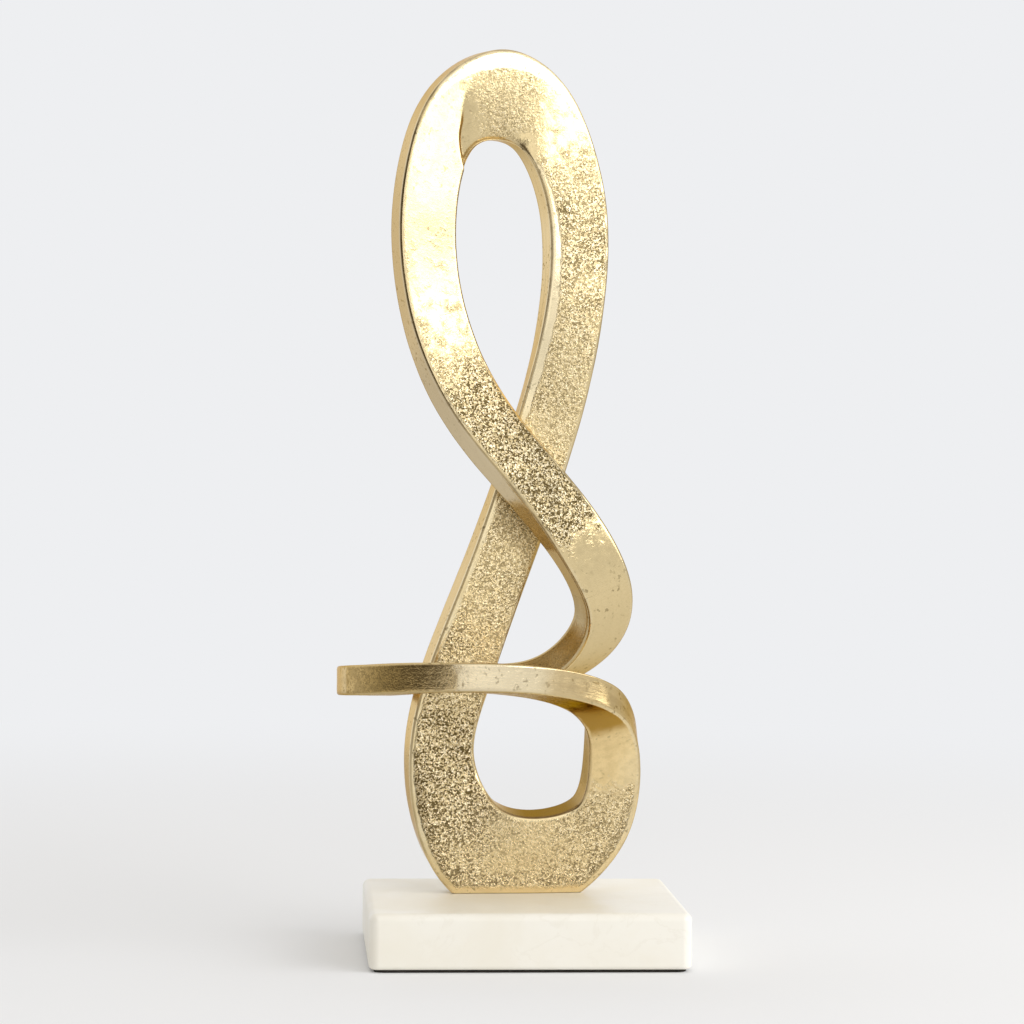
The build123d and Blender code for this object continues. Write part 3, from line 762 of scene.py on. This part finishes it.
def makeGold(setup):
    material, tree, shader = newMaterial("goldCasting")
    place = addNode(tree, "ShaderNodeTexCoord").outputs["Object"]
    straight = addNode(tree, "ShaderNodeAttribute", attribute_name="bandPlace").outputs["Vector"]
    marks = {name: addNode(tree, "ShaderNodeAttribute", attribute_name=name).outputs["Fac"]
             for name in ("edgeGap", *markScales)}
    edgeGap = marks["edgeGap"]
    cast = useGroup(tree, castGrain, {"Place": place, "Size": setup["grainSize"]})
    brush = useGroup(tree, brushLines, {"Place": straight, "Length": setup["lineLength"],
                                        "Spacing": setup["lineSpacing"]})
    ragged = centredNoise(tree, place, setup["raggedScale"], 2.0)
    blotch = centredNoise(tree, place, setup["blotchScale"], 3.0, 0.6)
    mottle = centredNoise(tree, place, setup["mottleScale"], 3.0, 0.6)
    rise = calc(tree, "SUBTRACT", addNode(tree, "ShaderNodeSeparateXYZ", {"Vector": place}).outputs["Z"],
                setup["footLevel"])
    side = calc(tree, "SIGN", addNode(tree, "ShaderNodeSeparateXYZ", {"Vector": straight}).outputs["Y"])
    narrow = ramp(tree, edgeGap, *setup["narrowGap"])

    # cast skin inside the ground borders and away from the ground patches
    band = calc(tree, "MAXIMUM", product(tree, marks["rim"], side), 0.0)
    gap = calc(tree, "MINIMUM", calc(tree, "SUBTRACT", edgeGap, band), product(tree, rise, setup["soleSlope"]))
    face = ramp(tree, addShare(tree, gap, ragged, setup["raggedBorder"]), *setup["groundBorder"])
    patch = ramp(tree, addShare(tree, marks["ground"], ragged, setup["raggedPatch"]), *setup["patch"])
    rough = product(tree, face, rest(tree, patch))
    smooth = rest(tree, rough)
    strength = product(tree, rough, marks["grain"], addShare(tree, 1.0, blotch, setup["unevenShare"]))

    # grain crowds along the foot's outer border
    fringe = product(tree, ramp(tree, gap, *setup["fringeGap"]),
                     ramp(tree, rise, *setup["fringeRise"], 0.0, setup["fringeShare"]),
                     calc(tree, "LESS_THAN", side, 0.0))
    strength = product(tree, strength, calc(tree, "ADD", 1.0, fringe))
    flecks = product(tree, narrow, marks["patinaAndShade"], setup["patinaAndShadeGrain"])
    strength = calc(tree, "ADD", calc(tree, "MAXIMUM", strength, flecks), setup["leastGrain"])

    # dark hollows, partly the cast colour and partly painted shade, and bright tops with painted glints
    pits = product(tree, cast["Pits"], strength, setup["pitShare"])
    tone = mixColour(tree, calc(tree, "MINIMUM", pits, 1.0), setup["gold"], setup["deep"])
    shine = product(tree, ramp(tree, cast["Height"], *setup["shine"]), strength, setup["shineShare"])
    tone = mixColour(tree, calc(tree, "MINIMUM", shine, 1.0), tone, setup["bright"])

    # polished borders with a painted sheen, painted sheen in patches on the tops, and a painted highlight on the foot's
    # sole
    # ground borders and smooth bands: lighter ground metal, brightened further with a painted sheen
    ground = rest(tree, face)
    polish = product(tree, ground, ramp(tree, edgeGap, *setup["polishGap"]), ramp(tree, blotch, *setup["polish"]))
    wide = product(tree, ground, ramp(tree, band, *setup["wideBand"], 0.0, setup["wideShare"]))
    tone = mixColour(tree, calc(tree, "MAXIMUM", polish, wide), tone, setup["bright"])
    # painted sheen in mottled patches, standing in for the reflection of the floor and block
    sheenPatches = product(tree, marks["sheen"], ramp(tree, mottle, *setup["sheen"]))
    # painted highlight along the foot's sole, just above the block
    soleHighlight = ramp(tree, addShare(tree, rise, ragged, setup["raggedSole"]), *setup["soleRise"])
    soleHighlight = product(tree, soleHighlight, setup["soleShare"])
    tone = mixColour(tree, calc(tree, "MINIMUM", calc(tree, "MAXIMUM", sheenPatches, soleHighlight), 1.0), tone, setup["sheenGold"])

    # narrow sides: smears, a paler tone that is a painted reflection, then patina blotches that also paint a dark
    # reflection, with their clouds and spots
    smear = product(tree, ramp(tree, brush["Smears"], *setup["smear"]), smooth,
                    ramp(tree, edgeGap, *setup["smearGap"]))
    tone = mixColour(tree, smear, tone, setup["deep"])
    # narrow sides painted paler and greyer: a painted reflection
    tone = mixColour(tree, product(tree, narrow, marks["pale"], setup["flankShare"]), tone, setup["flank"])
    # patina blotches on the narrow side, which also paint the dark reflection on the ring's front left
    stainedAndShaded = ramp(tree, addShare(tree, marks["patinaAndShade"], ragged, setup["raggedStain"]), *setup["darkPatch"])
    stainedAndShaded = product(tree, stainedAndShaded, narrow)
    cover = product(tree, stainedAndShaded, ramp(tree, marks["patinaAndShade"], *setup["patinaAndShadeCover"]))
    tone = mixColour(tree, cover, tone, setup["patinaAndShade"])
    clouds = ramp(tree, noise(tree, place, setup["cloudScale"], 4.0, 0.65, 0.4), *setup["cloud"])
    spots = calc(tree, "MAXIMUM", product(tree, clouds, setup["cloudShare"]),
                 product(tree, cast["Pits"], setup["spotShare"]))
    tone = mixColour(tree, product(tree, spots, stainedAndShaded), tone, setup["deep"])

    # specks on smooth metal, dark lines on the edges
    specks = product(tree, ramp(tree, noise(tree, place, setup["speckScale"], 1.0), *setup["speck"]), smooth,
                     ramp(tree, blotch, *setup["speckBlotch"]), setup["speckShare"])
    tone = mixColour(tree, specks, tone, setup["deep"])
    edgeStart = ramp(tree, edgeGap, *setup["edgeStart"])
    line = product(tree, edgeStart, ramp(tree, edgeGap, *setup["lineEnd"]),
                   ramp(tree, calc(tree, "ADD", ragged, blotch), *setup["linePatches"]),
                   addShare(tree, setup["leastLine"], marks["line"], setup["lineShare"]))
    tone = mixColour(tree, line, tone, setup["rim"])

    # painted brown shade under the ring's end, painted shade on the lips, and a painted contact shadow where the foot
    # meets the block
    # painted brown shade under the ring's end, on the faces and partly on the narrow sides
    darkPatch = ramp(tree, addShare(tree, marks["brownShade"], ragged, setup["raggedBrownShade"]), *setup["brownShade"],
                 0.0, setup["brownShadeShare"])
    darkPatch = product(tree, darkPatch, calc(tree, "MAXIMUM", face, product(tree, narrow, setup["narrowBrownShade"])))
    tone = mixColour(tree, darkPatch, tone, setup["brown"])
    # painted shade along the inner lips of the band, spreading onto the face near the crown's hole
    lip = calc(tree, "MAXIMUM", product(tree, marks["lip"], side), 0.0)
    outer = calc(tree, "ADD", marks["spread"], setup["lipOuter"])
    inner = addShare(tree, setup["lipInner"], marks["spread"], setup["lipSpread"])
    lip = calc(tree, "MINIMUM", product(tree, lip, ramp(tree, edgeGap, outer, inner)), 1.0)
    tone = mixColour(tree, lip, tone, setup["lipBrown"])
    # painted contact shadow: a thin dark line where the foot meets the block
    contactShadow = ramp(tree, rise, *setup["contactRise"], 0.0, setup["contactShare"])
    tone = mixColour(tree, contactShadow, tone, setup["rim"])
    plug(tree, shader.inputs["Base Color"], tone)
    shader.inputs["Metallic"].default_value = 1.0
    shader.inputs["Specular Tint"].default_value = setup["grazing"]

    # filed edges beside the smooth bands are duller
    roughness = mixNumber(tree, calc(tree, "MINIMUM", strength, 1.0), ramp(tree, mottle, *setup["groundRoughness"]),
                          ramp(tree, cast["Height"], *setup["castRoughness"]))
    filed = product(tree, edgeStart, ramp(tree, edgeGap, *setup["filedEnd"]),
                    ramp(tree, band, 0.0, setup["filedBand"], 0.0, setup["filedShare"]))
    plug(tree, shader.inputs["Roughness"], mixNumber(tree, filed, roughness, setup["filedRoughness"]))
    lines = product(tree, brush["Lines"], smooth, ramp(tree, edgeGap, *setup["brushGap"], 0.0, setup["brushHeight"]))
    height = addShare(tree, lines, cast["Height"], strength)
    bump = addNode(tree, "ShaderNodeBump", {"Height": height, "Strength": 1.0, "Distance": setup["grainHeight"]})
    plug(tree, shader.inputs["Normal"], bump.outputs[0])
    return material


goldCasting = makeGold(goldFinish)
bandTree = buildBandTree(knot)


def cutFlat(piece, level):
    made = bmesh.new()
    made.from_mesh(piece.data)
    bmesh.ops.bisect_plane(made, geom=made.verts[:] + made.edges[:] + made.faces[:], plane_co=(0.0, 0.0, level),
                           plane_no=(0.0, 0.0, -1.0), clear_outer=True)
    rim = [edge for edge in made.edges if edge.is_boundary]
    bmesh.ops.edgeloop_fill(made, edges=rim)
    made.to_mesh(piece.data)
    made.free()


def makeCasting(node, ends, setup):
    piece = makePath(node + "_cast", ends, setup)
    values = {name: setup[key] * mm for name, key in bandLengths.items()}
    values.update({name: setup[key] for name, key in bandNumbers.items()})
    finishNodes(piece, bandTree, {**values, "Finish": goldCasting})
    if node == "foot_casting":
        cutFlat(piece, setup["baseTop"] * mm)
    for spare in ("sectionPlace", "middle", "across", "facing", "reachIn", "reachOut", "alongPath", "bandSpot",
                  "turn", *shapeScales):
        if spare in piece.data.attributes:
            piece.data.attributes.remove(piece.data.attributes[spare])
    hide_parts(node)
    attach(piece, "root")
    made = bmesh.new()
    made.from_mesh(piece.data)
    print(node, "volume", round(made.calc_volume(signed=True) * 1e9), "mm3, faces", len(made.faces),
          "open edges", sum(edge.is_boundary for edge in made.edges))
    made.free()


for node, ends in knot["castings"].items():
    makeCasting(node, ends, knot)
print("castings made")

# Base, felt and the hidden hardware keep their solids and get their finish here.
marbleFinish = {
    "cream": (0.90, 0.86, 0.755, 1.0),
    "pale": (0.93, 0.90, 0.815, 1.0),
    "vein": (0.76, 0.71, 0.60, 1.0),
    "cloudSize": 42.0 * mm,
    "cloud": (0.35, 0.65),
    "veinSize": 30.0 * mm,
    "veinTurn": (0.3, 0.5, 0.7),
    "veinStretch": (1.0, 2.2, 1.4),
    "veinWidth": 0.030,
    "veinClouds": (0.40, 0.60),
    "veinShare": 0.18,
    "speckScale": 900.0,
    "speck": (0.70, 0.80),
    "speckShare": 0.25,
    "roughness": (0.3, 0.7, 0.42, 0.30),
    "reliefScale": 260.0,
    "reliefHeight": 0.2 * mm,
    "reliefStrength": 0.15,
}


def makeMarble(setup):
    material, tree, shader = newMaterial("creamMarble")
    place = addNode(tree, "ShaderNodeTexCoord").outputs["Object"]
    clouds = noise(tree, place, 1.0 / setup["cloudSize"], 4.0, 0.55, 0.5)
    tone = mixColour(tree, ramp(tree, clouds, *setup["cloud"]), setup["cream"], setup["pale"])
    drift = addNode(tree, "ShaderNodeMapping", {"Vector": place, "Rotation": setup["veinTurn"],
                                                "Scale": setup["veinStretch"]}).outputs[0]
    ridge = calc(tree, "SUBTRACT", noise(tree, drift, 1.0 / setup["veinSize"], 5.0, 0.6, 1.2), 0.5)
    veins = product(tree, ramp(tree, calc(tree, "ABSOLUTE", ridge), setup["veinWidth"], 0.0),
                    ramp(tree, clouds, *setup["veinClouds"]), setup["veinShare"])
    tone = mixColour(tree, veins, tone, setup["vein"])
    specks = ramp(tree, noise(tree, place, setup["speckScale"], 1.0), *setup["speck"])
    tone = mixColour(tree, product(tree, specks, setup["speckShare"]), tone, setup["vein"])
    plug(tree, shader.inputs["Base Color"], tone)
    plug(tree, shader.inputs["Roughness"], ramp(tree, clouds, *setup["roughness"]))
    bump = addNode(tree, "ShaderNodeBump", {"Height": noise(tree, place, setup["reliefScale"], 3.0),
                                            "Strength": setup["reliefStrength"], "Distance": setup["reliefHeight"]})
    plug(tree, shader.inputs["Normal"], bump.outputs[0])
    return material


feltFinish = {
    "dark": (0.012, 0.010, 0.008, 1.0),
    "light": (0.050, 0.043, 0.034, 1.0),
    "fibre": 0.35 * mm,
    "fibreShare": 0.75,
    "tuftScale": 0.08,
    "tuftShare": 0.25,
    "tone": (0.3, 0.7),
    "roughness": (0.3, 0.7, 0.88, 1.0),
    "pile": 0.3 * mm,
    "pileStrength": 0.8,
}


def makeFelt(setup):
    material, tree, shader = newMaterial("brownFelt")
    place = addNode(tree, "ShaderNodeTexCoord").outputs["Object"]
    fibres = noise(tree, place, 1.0 / setup["fibre"], 3.0, 0.7, 2.5)
    tufts = noise(tree, place, setup["tuftScale"] / setup["fibre"], 2.0)
    share = addShare(tree, product(tree, fibres, setup["fibreShare"]), tufts, setup["tuftShare"])
    plug(tree, shader.inputs["Base Color"],
         mixColour(tree, ramp(tree, share, *setup["tone"]), setup["dark"], setup["light"]))
    plug(tree, shader.inputs["Roughness"], ramp(tree, fibres, *setup["roughness"]))
    bump = addNode(tree, "ShaderNodeBump", {"Height": fibres, "Strength": setup["pileStrength"],
                                            "Distance": setup["pile"]})
    plug(tree, shader.inputs["Normal"], bump.outputs[0])
    return material


steelFinish = {
    "steel": (0.56, 0.56, 0.57, 1.0),
    "worn": (0.38, 0.375, 0.37, 1.0),
    "wear": (0.55, 0.35),
    "lineLength": 6.0 * mm,
    "lineSpacing": 0.25 * mm,
    "lineDepth": 0.05 * mm,
    "lineStrength": 0.2,
    "roughness": (0.3, 0.7, 0.28, 0.45),
}


def makeSteel(setup):
    material, tree, shader = newMaterial("platedSteel")
    place = addNode(tree, "ShaderNodeTexCoord").outputs["Object"]
    brush = useGroup(tree, brushLines, {"Place": place, "Length": setup["lineLength"], "Spacing": setup["lineSpacing"]})
    plug(tree, shader.inputs["Base Color"],
         mixColour(tree, ramp(tree, brush["Smears"], *setup["wear"]), setup["steel"], setup["worn"]))
    shader.inputs["Metallic"].default_value = 1.0
    plug(tree, shader.inputs["Roughness"], ramp(tree, brush["Lines"], *setup["roughness"]))
    bump = addNode(tree, "ShaderNodeBump", {"Height": brush["Lines"], "Strength": setup["lineStrength"],
                                            "Distance": setup["lineDepth"]})
    plug(tree, shader.inputs["Normal"], bump.outputs[0])
    return material


def dressNode(node, material):
    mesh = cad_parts[node].data
    mesh.materials.clear()
    mesh.materials.append(material)


platedSteel = makeSteel(steelFinish)
dressNode("marble_base", makeMarble(marbleFinish))
dressNode("felt_pad", makeFelt(feltFinish))
for node in ("base_screws", "flat_washers", "spring_washers", "joint_dowels"):
    dressNode(node, platedSteel)
print("base, felt and hardware finished")
